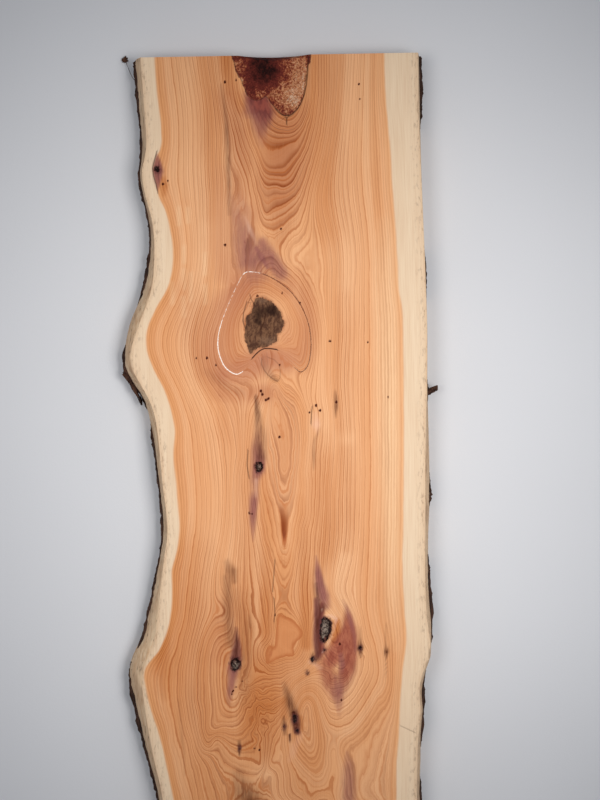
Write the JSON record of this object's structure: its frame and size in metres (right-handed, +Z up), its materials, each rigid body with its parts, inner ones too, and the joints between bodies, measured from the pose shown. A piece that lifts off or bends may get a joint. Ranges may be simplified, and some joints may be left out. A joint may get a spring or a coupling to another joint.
{
  "type": "waney-edge plank",
  "caption": "Flat sawn plank of orange-brown heartwood with cream sapwood, wavy natural edges that keep their bark, a square-cut end with a bark pocket, and open knots on its face.",
  "frame": {"origin": "middle of the sawn underside: half way between the two cross-cut ends, on the board's nominal centre line", "axes": "+Y along the board towards the head end with the bark pocket, +Z up out of the upper sawn face, +X to the right across the board when seen from above with the head end away from the viewer"},
  "size_m": [0.2873, 1.2, 0.04],
  "materials": {
    "wood": "planed, unfinished",
    "bark": "rough, flaking"
  },
  "bodies": {
    "root": {"plank": "wood", "bark_left": "bark", "bark_right": "bark"}
  },
  "joints": []
}
